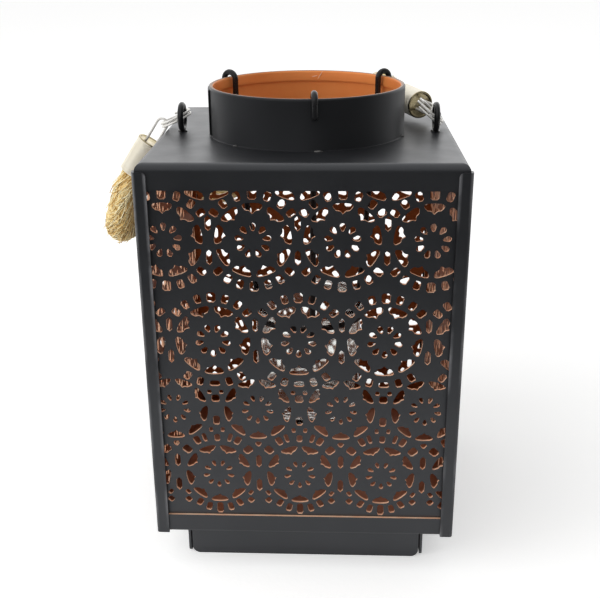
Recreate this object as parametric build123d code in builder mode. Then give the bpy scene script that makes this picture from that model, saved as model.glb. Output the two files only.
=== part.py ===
import os
from math import cos, radians, sin, sqrt, tan

from build123d import *

os.makedirs("parts", exist_ok=True)

# Sheet and general clearances
sheet = 1.2
seat_gap = 0.3
weld_gap = 0.1

# Body, a box of pierced sheets between a cap and a pan
body_width = 150.0
body_depth = 150.0
body_height = 191.0
header_height = 12.0
rail_height = 10.0
cap_fold_radius = 3.5
pan_fold_radius = 1.6
strip_width = 6.3
strip_fold_radius = 1.6
strip_tip_radius = 2.5

# Plinth, a folded foot set back under the pan
plinth_height = 22.0
plinth_setback = 13.5
plinth_corner_gap = 0.8
plinth_tip_radius = 4.0

# Collar round the neck, with its hem folded inwards
collar_diameter = 98.0
collar_height = 24.0
hem_depth = 5.5

# Lace: rows of rosettes, three facing down and three facing up by turns
rosette_pitch = 40.4
rosette_row_pitch = 36.2
band_pitch = 49.4
band_rows = 3
first_row_height = 33.9
lace_shift = -1.9
lobes = 9
large_rosette_radius = 17.6
small_rosette_radius = 16.2
lobe_depth = 4.2
lobe_outer_width = 9.2
lobe_inner_width = 5.4
leaf_length = 7.0
leaf_width = 2.8
leaf_spread = 7.6
lace_margin = 1.5

# Eyelets of bent wire on the plate
eyelet_diameter = 15.0
eyelet_wire = 3.0
left_eyelet_inset = 11.6
right_eyelet_inset = 10.0
eyelet_sink = 0.3
ring_steps = 18
wire_sides = 6

# Split rings, each a wire wound twice
split_diameter = 17.2
split_wire = 1.2
split_turns = 2
split_turn_gap = 0.45
split_steps = 16
left_split_tilt = 22.0
left_split_reach = 4.7
left_split_back = 6.2
left_split_drop = 0.0
left_split_start = 80.0
right_split_tilt = 41.0
right_split_reach = -3.2
right_split_back = 6.0
right_split_drop = 0.6
right_split_start = 215.0

# Ferrules on the rope's ends, and their wire loops
ferrule_diameter = 14.4
ferrule_length = 20.0
left_stand_off = 11.0
right_stand_off = 9.0
loop_wire = 1.4
loop_width = 5.6
loop_steps = 4
left_ferrule_lean = 33.5
right_ferrule_turn = 24.0
right_ferrule_rise = 4.0

# Rope handle, from the left ferrule to the right one
rope_diameter = 13.0
rope_sides = 5
rope_share = 0.45
rope_lead = 12.0
rope_middle = [
    (-103.4, 8.6, 166.4),
    (-106.2, 17.8, 158.0),
    (-106.2, 36.0, 150.4),
    (-100.0, 76.0, 147.8),
    (-83.0, 94.2, 150.4),
    (-52.0, 98.6, 156.4),
    (-11.0, 97.4, 175.2),
    (15.4, 95.4, 199.8),
    (32.4, 86.4, 219.6),
    (40.4, 72.0, 226.2),
]

# Hanger: three hooked wires and a ring
hook_wire = 3.0
hook_drop = 13.0
hook_rim_gap = 0.8
hook_steps = 6
hook_inner_drop = 14.0
hook_foot = 4.0
hook_angles = {"hook_front": 276.0, "hook_back_right": 34.5, "hook_back_left": 149.5}

# Glass cup with a lip that sits on the ring
cup_lip_height = 122.0
cup_height = 64.0
cup_lip_diameter = 65.0
cup_lip_depth = 3.5
cup_diameter = 57.0
cup_wall = 2.2
cup_base = 7.0

# Heights and faces that several pieces share
half_width = body_width / 2
half_depth = body_depth / 2
body_bottom = plinth_height
body_top = plinth_height + body_height
collar_top = body_top + collar_height
collar_radius = collar_diameter / 2
collar_bore = collar_radius - sheet
panel_bottom = body_bottom + max(sheet, pan_fold_radius)
panel_top = body_top - cap_fold_radius
panel_height = panel_top - panel_bottom


# Points along an arc, for wires that bend round
def arc_points(radius, first_angle, last_angle, steps, centre_x=0.0, centre_y=0.0):
    turn = radians(last_angle - first_angle) / steps
    angles = [radians(first_angle) + turn * step for step in range(steps + 1)]
    return [(centre_x + radius * cos(angle), centre_y + radius * sin(angle)) for angle in angles]


# Corner strips, one over each upright edge
corners = {
    "post_front_left": (-1, -1),
    "post_front_right": (1, -1),
    "post_back_right": (1, 1),
    "post_back_left": (-1, 1),
}
for name, (side_x, side_y) in corners.items():
    corner = Vector(side_x * half_width, side_y * half_depth, body_bottom)
    with BuildPart() as post:
        with BuildSketch(Plane.XY.offset(body_bottom)):
            with Locations((corner.X - side_x * strip_width / 2, corner.Y - side_y * sheet / 2)):
                Rectangle(strip_width, sheet)
            with Locations((corner.X - side_x * sheet / 2, corner.Y - side_y * strip_width / 2)):
                Rectangle(sheet, strip_width)
            fillet(vertices().sort_by_distance((corner.X, corner.Y))[0], radius=strip_fold_radius)
        extrude(amount=body_height - cap_fold_radius)
        top_face = faces().sort_by(Axis.Z)[-1]
        tips = top_face.edges().sort_by_distance(corner)[-2:]
        fillet(tips, radius=strip_tip_radius)
    post.part.label = name
    export_step(post.part, f"parts/{name}.step")

# Cap: a plate with four flanges turned down and the neck hole
with BuildPart() as top_cap:
    with BuildSketch(Plane.YZ.offset(-half_width + sheet)):
        with Locations((0, body_top - header_height / 2)):
            Rectangle(body_depth - 2 * sheet, header_height)
        fillet(vertices().group_by(Axis.Y)[-1], radius=cap_fold_radius)
    extrude(amount=body_width - 2 * sheet)
    with BuildSketch(Plane.XZ.offset(-half_depth + sheet)):
        with Locations((0, body_top - header_height / 2)):
            Rectangle(body_width - 2 * sheet, header_height)
        fillet(vertices().group_by(Axis.Y)[-1], radius=cap_fold_radius)
    extrude(amount=body_depth - 2 * sheet, mode=Mode.INTERSECT)
    offset(amount=-sheet, openings=faces().sort_by(Axis.Z)[0])
    with Locations((0, 0, body_top)):
        Hole(radius=collar_bore)
top_cap.part.label = "top_cap"
export_step(top_cap.part, "parts/top_cap.step")

# Pan: a floor with four flanges turned up
with BuildPart() as bottom_pan:
    with BuildSketch(Plane.YZ.offset(-half_width + sheet)):
        with Locations((0, body_bottom + rail_height / 2)):
            Rectangle(body_depth - 2 * sheet, rail_height)
        fillet(vertices().group_by(Axis.Y)[0], radius=pan_fold_radius)
    extrude(amount=body_width - 2 * sheet)
    with BuildSketch(Plane.XZ.offset(-half_depth + sheet)):
        with Locations((0, body_bottom + rail_height / 2)):
            Rectangle(body_width - 2 * sheet, rail_height)
        fillet(vertices().group_by(Axis.Y)[0], radius=pan_fold_radius)
    extrude(amount=body_depth - 2 * sheet, mode=Mode.INTERSECT)
    offset(amount=-sheet, openings=faces().sort_by(Axis.Z)[-1])
bottom_pan.part.label = "bottom_pan"
export_step(bottom_pan.part, "parts/bottom_pan.step")

# Plinth: a top plate with four flaps folded down
plinth_width = body_width - 2 * plinth_setback
plinth_depth = body_depth - 2 * plinth_setback
with BuildPart() as plinth:
    with BuildSketch(Plane.XY.offset(plinth_height)):
        Rectangle(plinth_width, plinth_depth)
    extrude(amount=-sheet)
    with BuildSketch(Plane.YZ.offset(plinth_width / 2)):
        with Locations((0, plinth_height / 2)):
            Rectangle(plinth_depth, plinth_height)
        fillet(vertices().group_by(Axis.Y)[0], radius=plinth_tip_radius)
    extrude(amount=-sheet)
    with BuildSketch(Plane.XZ.offset(plinth_depth / 2)):
        with Locations((0, plinth_height / 2)):
            Rectangle(plinth_width - 2 * sheet - 2 * plinth_corner_gap, plinth_height)
        fillet(vertices().group_by(Axis.Y)[0], radius=plinth_tip_radius)
    extrude(amount=-sheet)
    mirror(about=Plane.YZ)
    mirror(about=Plane.XZ)
plinth.part.label = "plinth"
export_step(plinth.part, "parts/plinth.step")

# Collar: a turned-in hem thickens the rim
with BuildPart() as collar:
    with BuildSketch(Plane.XZ):
        with BuildLine():
            Polyline(
                (collar_bore, body_top),
                (collar_radius, body_top),
                (collar_radius, collar_top),
                (collar_bore - sheet, collar_top),
                (collar_bore - sheet, collar_top - hem_depth),
                (collar_bore, collar_top - hem_depth),
                close=True,
            )
        make_face()
    revolve(axis=Axis.Z)
collar.part.label = "collar"
export_step(collar.part, "parts/collar.step")


# Rosette centres on a sheet, as columns across and heights above the body's foot
def rosettes(half_span):
    rows = []
    height = first_row_height
    index = 0
    while height < body_height + large_rosette_radius:
        band, place = divmod(index, band_rows)
        facing_up = band % 2 == 1
        beside_gap = place == (0 if facing_up else band_rows - 1)
        radius = large_rosette_radius if beside_gap else small_rosette_radius
        start = lace_shift if index % 2 == 0 else lace_shift + rosette_pitch / 2
        count = int(half_span / rosette_pitch) + 2
        columns = [start + step * rosette_pitch for step in range(-count, count + 1)]
        rows.append((height, columns, radius, facing_up))
        last_in_band = place == band_rows - 1
        height += band_pitch if last_in_band else rosette_row_pitch
        index += 1
    return rows


# Pierced sheets: rings of nine lobes, with pairs of leaves between the larger ones
window_bottom = rail_height + lace_margin
window_top = body_height - header_height
walls = {
    "front_panel": (0.0, half_depth, body_width - 4 * sheet, half_width),
    "right_panel": (90.0, half_width, body_depth - 6 * sheet, half_depth),
    "back_panel": (180.0, half_depth, body_width - 4 * sheet, half_width),
    "left_panel": (270.0, half_width, body_depth - 6 * sheet, half_depth),
}
for name, (turn, reach, width, half_span) in walls.items():
    across = Vector(cos(radians(turn)), sin(radians(turn)), 0)
    outward = Vector(sin(radians(turn)), -cos(radians(turn)), 0)
    face = Plane(outward * (reach - 2 * sheet) + Vector(0, 0, body_bottom), across, outward)
    window_half = half_span - strip_width - lace_margin
    leaf_places = []
    lobe_places = {large_rosette_radius: [], small_rosette_radius: []}
    for height, columns, radius, facing_up in rosettes(half_span):
        for column in columns:
            for lobe in range(lobes):
                angle = (90 if facing_up else 270) + lobe * 360 / lobes
                middle = radius - lobe_depth / 2
                x = column + middle * cos(radians(angle))
                y = height + middle * sin(radians(angle))
                if abs(x) < window_half and window_bottom < y < window_top:
                    lobe_places[radius].append(Location((column, height), angle))
            if radius < large_rosette_radius:
                continue
            for leaf_height in (height - leaf_spread, height + leaf_spread):
                x = column + rosette_pitch / 2
                if abs(x) < window_half and window_bottom < leaf_height < window_top:
                    leaf_places.append(Location((x, leaf_height), 0))
    with BuildPart() as panel:
        with BuildSketch(face):
            with Locations((0, panel_bottom - body_bottom + panel_height / 2)):
                Rectangle(width, panel_height)
            for radius, places in lobe_places.items():
                with Locations(places):
                    Polygon(
                        (radius - lobe_depth, -lobe_inner_width / 2),
                        (radius, -lobe_outer_width / 2),
                        (radius, lobe_outer_width / 2),
                        (radius - lobe_depth, lobe_inner_width / 2),
                        align=None,
                        mode=Mode.SUBTRACT,
                    )
            with Locations(leaf_places):
                Polygon(
                    (0, -leaf_length / 2),
                    (leaf_width / 2, 0),
                    (0, leaf_length / 2),
                    (-leaf_width / 2, 0),
                    align=None,
                    mode=Mode.SUBTRACT,
                )
        extrude(amount=-sheet)
    panel.part.label = name
    export_step(panel.part, f"parts/{name}.step")
    print(name, "lobes", [len(places) for places in lobe_places.values()], "leaves", len(leaf_places))

# Eyelets: wire rings welded upright on the plate, on the axis that the handle swings about
eyelet_radius = (eyelet_diameter - eyelet_wire) / 2
eyelet_height = body_top + eyelet_diameter / 2 - eyelet_sink
eyelet_places = {"left": left_eyelet_inset - half_width, "right": half_width - right_eyelet_inset}
for hand, eyelet_x in eyelet_places.items():
    name = hand + "_eyelet"
    ring_plane = Plane((eyelet_x, 0, eyelet_height), (0, 1, 0), (1, 0, 0))
    with BuildPart() as eyelet:
        with BuildLine(ring_plane) as eyelet_path:
            Polyline(*arc_points(eyelet_radius, 0, 360, ring_steps)[:-1], close=True)
        with BuildSketch(Plane(eyelet_path.wire() @ 0, (1, 0, 0), eyelet_path.wire() % 0)):
            RegularPolygon(eyelet_wire / 2, wire_sides)
        sweep(transition=Transition.RIGHT)
        split(bisect_by=Plane.XY.offset(body_top), keep=Keep.TOP)
    eyelet.part.label = name
    export_step(eyelet.part, f"parts/{name}.step")

# Split rings hang in the eyelets, the left one leaning out over the edge of the plate
split_radius = (split_diameter - split_wire) / 2
split_pitch = split_wire + split_turn_gap
split_rings = {
    "left": (-1, left_split_tilt, left_split_reach, left_split_back, left_split_drop),
    "right": (1, right_split_tilt, right_split_reach, right_split_back, right_split_drop),
}
split_starts = {"left": left_split_start, "right": right_split_start}
split_planes = {}
for hand, (side, tilt, reach, back, drop) in split_rings.items():
    droop = Vector(side * cos(radians(tilt)), 0, -sin(radians(tilt)))
    centre = Vector(eyelet_places[hand], back, eyelet_height - drop) + droop * reach
    plane = Plane(centre, droop, droop.cross(Vector(0, 1, 0)))
    split_planes[hand] = plane
    name = hand + "_split_ring"
    start = split_starts[hand]
    steps = split_turns * split_steps
    turns = arc_points(split_radius, start, start + split_turns * 360, steps)
    lifts = [(step / steps - 1 / 2) * split_turns * split_pitch for step in range(steps + 1)]
    coil = [plane.from_local_coords(Vector(x, y, lift)) for (x, y), lift in zip(turns, lifts)]
    with BuildPart() as split_ring:
        with BuildLine() as split_path:
            Polyline(*coil)
        with BuildSketch(Plane(split_path.wire() @ 0, plane.z_dir, split_path.wire() % 0)):
            Rectangle(split_wire, split_wire)
        sweep(transition=Transition.RIGHT)
    gaps = [(coil[step + split_steps] - coil[step]).length for step in range(split_steps + 1)]
    split_ring.part.label = name
    export_step(split_ring.part, f"parts/{name}.step")
    print(name, "least gap between turns", round(min(gaps) - split_wire, 2))

# Ferrules, each hung from the far side of its split ring by a wire loop
left_lean = radians(left_ferrule_lean)
right_turn = radians(right_ferrule_turn)
right_rise = radians(right_ferrule_rise)
left_axis = Vector(-sin(left_lean), 0, -cos(left_lean))
right_axis = Vector(
    -sin(right_turn) * cos(right_rise), cos(right_turn) * cos(right_rise), sin(right_rise)
)
left_eye = split_planes["left"].origin + split_planes["left"].x_dir * split_radius
right_eye = split_planes["right"].origin + split_planes["right"].y_dir * split_radius
rope_ends = {}
ferrules = {
    "left": (left_eye, left_axis, split_planes["left"].y_dir, left_stand_off),
    "right": (right_eye, right_axis, split_planes["right"].x_dir, right_stand_off),
}
for hand, (eye, axis, ring_run, stand_off) in ferrules.items():
    ferrule_face = eye + axis * stand_off
    rope_ends[hand] = ferrule_face + axis * ferrule_length
    name = hand + "_ferrule"
    with BuildPart() as ferrule:
        with BuildSketch(Plane(ferrule_face, z_dir=axis)):
            Circle(ferrule_diameter / 2)
        extrude(amount=ferrule_length)
    ferrule.part.label = name
    export_step(ferrule.part, f"parts/{name}.step")
    square_on = (ring_run - axis * ring_run.dot(axis)).normalized()
    name = hand + "_ferrule_eye"
    with BuildPart() as ferrule_eye:
        with BuildLine(Plane(ferrule_face, -axis, square_on)) as eye_path:
            Polyline(
                (0, -loop_width / 2),
                *arc_points(loop_width / 2, -90, 90, loop_steps, centre_x=stand_off),
                (0, loop_width / 2),
            )
        with BuildSketch(Plane(eye_path.wire() @ 0, square_on, -axis)):
            RegularPolygon(loop_wire / 2, wire_sides)
        sweep(transition=Transition.RIGHT)
    ferrule_eye.part.label = name
    export_step(ferrule_eye.part, f"parts/{name}.step")

# Rope: straight runs joined by arcs, leaving each ferrule in line with it
rope_points = [rope_ends["left"], rope_ends["left"] + left_axis * rope_lead]
rope_points += [Vector(*point) for point in rope_middle]
rope_points += [rope_ends["right"] + right_axis * rope_lead, rope_ends["right"]]
rope_radii = []
for before, here, after in zip(rope_points, rope_points[1:], rope_points[2:]):
    half_turn = radians((here - before).get_angle(after - here)) / 2
    shorter_run = min((here - before).length, (after - here).length)
    rope_radii.append(rope_share * shorter_run / tan(half_turn))
with BuildPart() as rope:
    with BuildLine() as rope_path:
        FilletPolyline(*rope_points, radius=rope_radii)
    with BuildSketch(Plane(rope_path.wire() @ 0, z_dir=rope_path.wire() % 0)) as rope_section:
        RegularPolygon(rope_diameter / 2, rope_sides)
    sweep()
rope.part.label = "rope"
export_step(rope.part, "parts/rope.step")
rope_length = rope_path.wire().length
swept = rope.part.volume / (rope_section.sketch.area * rope_length)
print("rope radii", [round(radius, 1) for radius in rope_radii])
print("rope runs", [round((b - a).length, 1) for a, b in zip(rope_points, rope_points[1:])])
print("rope length", round(rope_length, 1), "volume against section by length", round(swept, 4))
print("rope points", [tuple(round(v, 2) for v in point) for point in rope_points])

# Hanger ring just under the lip of the cup
lip_bottom = cup_lip_height - cup_lip_depth
foot_radius = cup_lip_diameter / 2 + seat_gap + hook_wire / 2
ring_radius = foot_radius - hook_wire - weld_gap
ring_height = lip_bottom - seat_gap - hook_wire / 2
with BuildPart() as hanger_ring:
    with BuildLine(Plane.XY.offset(ring_height)) as ring_path:
        Polyline(*arc_points(ring_radius, 0, 360, ring_steps)[:-1], close=True)
    with BuildSketch(Plane(ring_path.wire() @ 0, (0, 0, 1), ring_path.wire() % 0)):
        RegularPolygon(hook_wire / 2, wire_sides)
    sweep(transition=Transition.RIGHT)
hanger_ring.part.label = "hanger_ring"
export_step(hanger_ring.part, "parts/hanger_ring.step")

# Hooks: over the collar's rim, down inside it and in to the ring
rim_middle = collar_radius - sheet
hook_crook = sheet + hook_rim_gap + hook_wire / 2
crook_height = collar_top + seat_gap - sqrt((hook_crook - hook_wire / 2) ** 2 - sheet**2)
leg_radius = rim_middle - hook_crook
tip_height = crook_height + hook_crook + hook_wire / 2 - hook_drop
for name, angle in hook_angles.items():
    outward = Vector(cos(radians(angle)), sin(radians(angle)), 0)
    with BuildPart() as hook:
        with BuildLine(Plane((0, 0, 0), outward, outward.cross(Vector(0, 0, 1)))) as hook_path:
            Polyline(
                (foot_radius, ring_height - hook_foot),
                (foot_radius, ring_height + hook_foot),
                (leg_radius, collar_top - hook_inner_drop),
                *arc_points(hook_crook, 180, 0, hook_steps, rim_middle, crook_height),
                (rim_middle + hook_crook, tip_height),
            )
        with BuildSketch(Plane(hook_path.wire() @ 0, outward, hook_path.wire() % 0)):
            RegularPolygon(hook_wire / 2, wire_sides)
        sweep(transition=Transition.RIGHT)
    hook.part.label = name
    export_step(hook.part, f"parts/{name}.step")

# Glass cup, hung by its lip
cup_foot = cup_lip_height - cup_height
with BuildPart() as glass_cup:
    with BuildSketch(Plane.XZ):
        with BuildLine():
            Polyline(
                (0, cup_foot),
                (cup_diameter / 2, cup_foot),
                (cup_diameter / 2, lip_bottom),
                (cup_lip_diameter / 2, lip_bottom),
                (cup_lip_diameter / 2, cup_lip_height),
                (cup_diameter / 2 - cup_wall, cup_lip_height),
                (cup_diameter / 2 - cup_wall, cup_foot + cup_base),
                (0, cup_foot + cup_base),
                close=True,
            )
        make_face()
    revolve(axis=Axis.Z)
glass_cup.part.label = "glass_cup"
export_step(glass_cup.part, "parts/glass_cup.step")
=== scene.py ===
import math
import random

import bmesh
import bpy
from mathutils import Matrix, Vector


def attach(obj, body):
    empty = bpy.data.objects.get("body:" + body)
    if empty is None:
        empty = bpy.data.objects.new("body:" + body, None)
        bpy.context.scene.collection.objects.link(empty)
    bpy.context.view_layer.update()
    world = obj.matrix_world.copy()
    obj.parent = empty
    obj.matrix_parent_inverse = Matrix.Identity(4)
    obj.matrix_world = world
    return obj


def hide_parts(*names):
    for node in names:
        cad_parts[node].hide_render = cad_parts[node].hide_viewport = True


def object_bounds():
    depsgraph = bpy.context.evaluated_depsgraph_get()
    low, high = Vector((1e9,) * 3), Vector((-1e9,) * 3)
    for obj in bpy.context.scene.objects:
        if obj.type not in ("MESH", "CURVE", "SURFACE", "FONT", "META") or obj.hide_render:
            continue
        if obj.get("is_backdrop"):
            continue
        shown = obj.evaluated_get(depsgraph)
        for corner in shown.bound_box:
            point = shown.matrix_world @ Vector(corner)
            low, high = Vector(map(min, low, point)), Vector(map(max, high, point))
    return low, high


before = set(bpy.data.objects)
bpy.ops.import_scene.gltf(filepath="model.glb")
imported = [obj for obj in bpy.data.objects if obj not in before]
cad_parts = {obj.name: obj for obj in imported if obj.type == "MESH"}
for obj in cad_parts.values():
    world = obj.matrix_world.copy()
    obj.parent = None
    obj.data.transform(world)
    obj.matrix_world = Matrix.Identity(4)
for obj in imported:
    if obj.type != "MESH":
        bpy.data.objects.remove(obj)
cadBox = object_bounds()
mm = 0.001
print("frame loaded with", len(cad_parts), "nodes")

# Camera at the photograph's place, in millimetres and degrees
cameraView = {
    "lens": 55.93, "sensor": 36, "clipStart": 0.01,
    "place": (16.37, -472.29, 306.1),
    "pitch": 21.36, "yaw": -2.5, "roll": -0.47,
}
camera = bpy.data.objects.new("camera", bpy.data.cameras.new("camera"))
bpy.context.scene.collection.objects.link(camera)
camera.data.lens = cameraView["lens"]
camera.data.sensor_width = cameraView["sensor"]
camera.data.clip_start = cameraView["clipStart"]
placeCamera = Matrix.Translation(Vector(cameraView["place"]) * mm)
turnCamera = Matrix.Rotation(math.radians(-cameraView["yaw"]), 4, "Z")
tiltCamera = Matrix.Rotation(math.radians(90 - cameraView["pitch"]), 4, "X")
rollCamera = Matrix.Rotation(math.radians(cameraView["roll"]), 4, "Z")
camera.matrix_world = placeCamera @ turnCamera @ tiltCamera @ rollCamera
bpy.context.scene.camera = camera
bpy.context.scene.view_settings.view_transform = "Standard"


# Shader nodes: a value is either a constant or another node's output

def feed(tree, node, values):
    for label, value in values.items():
        if isinstance(value, bpy.types.NodeSocket):
            tree.links.new(value, node.inputs[label])
        else:
            node.inputs[label].default_value = value


def addNode(tree, kind, values=None, **settings):
    node = tree.nodes.new("ShaderNode" + kind)
    for label, value in settings.items():
        setattr(node, label, value)
    feed(tree, node, values or {})
    return node


def mathNode(tree, operation, first, second=None):
    values = {0: first} if second is None else {0: first, 1: second}
    return addNode(tree, "Math", values, operation=operation).outputs[0]


def mixNode(tree, kind, mask, first, second):
    values = {"Factor": mask, "A": first, "B": second}
    return addNode(tree, "Mix", values, data_type=kind).outputs["Result"]


def mapNode(tree, value, limits):
    return addNode(tree, "MapRange", {"Value": value, **limits}).outputs["Result"]


def useGroup(tree, group, vector, values):
    return addNode(tree, "Group", {"Vector": vector, **values}, node_tree=group).outputs[0]


# Shared node groups, each with a vector and some settings coming in

def newGroup(name, inputs, output, kind):
    group = bpy.data.node_groups.new(name, "ShaderNodeTree")
    group.interface.new_socket("Vector", in_out="INPUT", socket_type="NodeSocketVector")
    for label, value in inputs.items():
        inputKind = "NodeSocketFloat" if isinstance(value, float) else "NodeSocketColor"
        group.interface.new_socket(label, in_out="INPUT", socket_type=inputKind).default_value = value
    group.interface.new_socket(output, in_out="OUTPUT", socket_type="NodeSocket" + kind)
    return group, group.nodes.new("NodeGroupInput").outputs, group.nodes.new("NodeGroupOutput")


# Cloudy value between two limits
mottle, given, end = newGroup(
    "mottle", {"Scale": 40.0, "Detail": 4.0, "Low": 0.0, "High": 1.0}, "Value", "Float")
noise = addNode(mottle, "TexNoise", {label: given[label] for label in ("Vector", "Scale", "Detail")})
clouded = mapNode(mottle, noise.outputs["Fac"], {
    "From Min": 0.3, "From Max": 0.7, "To Min": given["Low"], "To Max": given["High"]})
feed(mottle, end, {"Value": clouded})

# Two tones of one finish, mixed in clouds
twoTone, given, end = newGroup(
    "twoTone", {"Scale": 20.0, "First": (0, 0, 0, 1), "Second": (1, 1, 1, 1)}, "Color", "Color")
clouds = useGroup(twoTone, mottle, given["Vector"], {"Scale": given["Scale"]})
feed(twoTone, end, {"Color": mixNode(twoTone, "RGBA", clouds, given["First"], given["Second"])})

# Fine dimples of sprayed paint, with a few soft dents
peel = {"dentScale": 26, "dentDetail": 1, "dentDepth": 0.004, "fineDepth": 0.0002}
sprayPeel, given, end = newGroup(
    "sprayPeel", {"Scale": 900.0, "Strength": 0.1, "Dents": 0.1}, "Normal", "Vector")
dimples = addNode(sprayPeel, "TexNoise", {"Vector": given["Vector"], "Scale": given["Scale"]})
dents = addNode(sprayPeel, "TexNoise", {
    "Vector": given["Vector"], "Scale": peel["dentScale"], "Detail": peel["dentDetail"]})
dentBump = addNode(sprayPeel, "Bump", {
    "Height": dents.outputs["Fac"], "Strength": given["Dents"], "Distance": peel["dentDepth"]})
fineBump = addNode(sprayPeel, "Bump", {
    "Height": dimples.outputs["Fac"], "Strength": given["Strength"], "Distance": peel["fineDepth"],
    "Normal": dentBump.outputs["Normal"]})
feed(sprayPeel, end, {"Normal": fineBump.outputs["Normal"]})

# One inside a square tube of space between two heights, nought outside it
insideMask, given, end = newGroup("insideMask", {"Half": 0.07, "Low": 0.0, "High": 1.0}, "Mask", "Float")
parts = addNode(insideMask, "SeparateXYZ", {0: given["Vector"]}).outputs
across = mathNode(insideMask, "ABSOLUTE", parts["X"])
along = mathNode(insideMask, "ABSOLUTE", parts["Y"])
within = mathNode(insideMask, "LESS_THAN", mathNode(insideMask, "MAXIMUM", across, along), given["Half"])
above = mathNode(insideMask, "GREATER_THAN", parts["Z"], given["Low"])
below = mathNode(insideMask, "LESS_THAN", parts["Z"], given["High"])
between = mathNode(insideMask, "MULTIPLY", above, below)
feed(insideMask, end, {"Mask": mathNode(insideMask, "MULTIPLY", within, between)})

# Painted highlight along the free edge and the folded corner of an upright strip, where the rounded edge
# catches light, broken into rubbed patches
edgeWearAndHighlight, given, end = newGroup(
    "edgeWearAndHighlight", {"Edge": 0.0687, "Corner": 0.075, "Width": 0.0008, "Scale": 60.0}, "Mask", "Float")
parts = addNode(edgeWearAndHighlight, "SeparateXYZ", {0: given["Vector"]}).outputs
across = mathNode(edgeWearAndHighlight, "ABSOLUTE", parts["X"])
along = mathNode(edgeWearAndHighlight, "ABSOLUTE", parts["Y"])
inward = mathNode(edgeWearAndHighlight, "MINIMUM", across, along)
fromEdge = mathNode(edgeWearAndHighlight, "ABSOLUTE", mathNode(edgeWearAndHighlight, "SUBTRACT", inward, given["Edge"]))
fromCorner = mathNode(edgeWearAndHighlight, "ABSOLUTE", mathNode(edgeWearAndHighlight, "SUBTRACT", inward, given["Corner"]))
nearest = mathNode(edgeWearAndHighlight, "DIVIDE", mathNode(edgeWearAndHighlight, "MINIMUM", fromEdge, fromCorner), given["Width"])
close = mathNode(edgeWearAndHighlight, "SUBTRACT", 1.0, mathNode(edgeWearAndHighlight, "MINIMUM", nearest, 1.0))
edgePatches = addNode(edgeWearAndHighlight, "TexNoise", {"Vector": given["Vector"], "Scale": given["Scale"], "Detail": 5})
patchy = mapNode(edgeWearAndHighlight, edgePatches.outputs["Fac"], {"From Min": 0.45, "From Max": 0.6})
feed(edgeWearAndHighlight, end, {"Mask": mathNode(edgeWearAndHighlight, "MULTIPLY", close, patchy)})


# Materials

def newMaterial(name):
    material = bpy.data.materials.new(name)
    material.use_nodes = True
    tree = material.node_tree
    return material, tree, tree.nodes["Principled BSDF"], addNode(tree, "TexCoord").outputs["Object"]


tinPaint = {
    "toneScale": 22, "roughness": (0.36, 0.44), "specular": 0.94, "metallic": 0.0,
    "sheen": (0.93, 0.955, 1.0, 1), "peel": 0.06, "dents": 0.035,
}
finishes = {
    "blackTin": {**tinPaint, "tones": [(0.007, 0.0075, 0.009, 1), (0.011, 0.0115, 0.0137, 1)]},
    # painted reflection: the plinth's black tin made lighter to stand for the white floor it mirrors
    "plinthLitTin": {**tinPaint, "tones": [(0.024, 0.0245, 0.027, 1), (0.032, 0.0325, 0.036, 1)]},
    "collarTin": {
        **tinPaint, "tones": [(0.0065, 0.0068, 0.0078, 1), (0.010, 0.0102, 0.0115, 1)], "specular": 0.42,
    },
    # painted highlight: a light tan line along the top of the collar's rolled rim
    "rimHighlight": {
        "tones": [(0.26, 0.14, 0.08, 1), (0.40, 0.25, 0.17, 1)],
        "toneScale": 90, "roughness": (0.36, 0.5), "specular": 0.4, "metallic": 0.2,
        "peel": 0.1, "dents": 0.0,
    },
    "blackWire": {
        "tones": [(0.006, 0.006, 0.007, 1), (0.011, 0.011, 0.012, 1)],
        "toneScale": 60, "roughness": (0.24, 0.34), "specular": 0.45, "metallic": 0.0,
        "peel": 0.08, "dents": 0.0,
    },
    # painted shade: the same copper paint as collarCopper, darkened to stand for the dim light inside the
    # walls, pan and cap
    "copperPaintInShade": {
        "tones": [(0.262, 0.075, 0.0225, 1), (0.437, 0.146, 0.050, 1)],
        "toneScale": 30, "roughness": (0.34, 0.48), "specular": 0.12, "metallic": 0.4,
        "peel": 0.12, "dents": 0.05,
    },
    "collarCopper": {
        "tones": [(0.86, 0.262, 0.064, 1), (0.93, 0.345, 0.10, 1)],
        "toneScale": 30, "roughness": (0.36, 0.48), "specular": 0.5, "metallic": 0.25,
        "peel": 0.12, "dents": 0.06,
    },
    # bare copper of the cut edges, painted much lighter than the copper paint as a painted highlight where the
    # edges catch the light from above
    "litCutEdge": {
        "tones": [(0.88, 0.46, 0.27, 1), (0.96, 0.66, 0.47, 1)],
        "toneScale": 140, "roughness": (0.34, 0.5), "specular": 0.5, "metallic": 0.1,
        "peel": 0.2, "dents": 0.0,
    },
    "weldMetal": {
        "tones": [(0.05, 0.05, 0.05, 1), (0.16, 0.155, 0.15, 1)],
        "toneScale": 500, "roughness": (0.4, 0.6), "specular": 0.5, "metallic": 0.3,
        "peel": 0.5, "dents": 0.0,
    },
    "ringSteel": {
        "tones": [(0.86, 0.84, 0.79, 1), (0.96, 0.945, 0.91, 1)],
        "toneScale": 300, "roughness": (0.24, 0.38), "specular": 0.6, "metallic": 0.2,
        "peel": 0.05, "dents": 0.0,
    },
    "nickelCap": {
        "tones": [(0.84, 0.77, 0.61, 1), (0.93, 0.88, 0.75, 1)],
        "toneScale": 120, "roughness": (0.34, 0.46), "specular": 0.5, "metallic": 0.4,
        "peel": 0.08, "dents": 0.0,
    },
    "capFace": {
        "tones": [(0.31, 0.25, 0.13, 1), (0.52, 0.45, 0.29, 1)],
        "toneScale": 240, "roughness": (0.12, 0.24), "specular": 0.5, "metallic": 1.0,
        "peel": 0.25, "dents": 0.1,
    },
}
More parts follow.
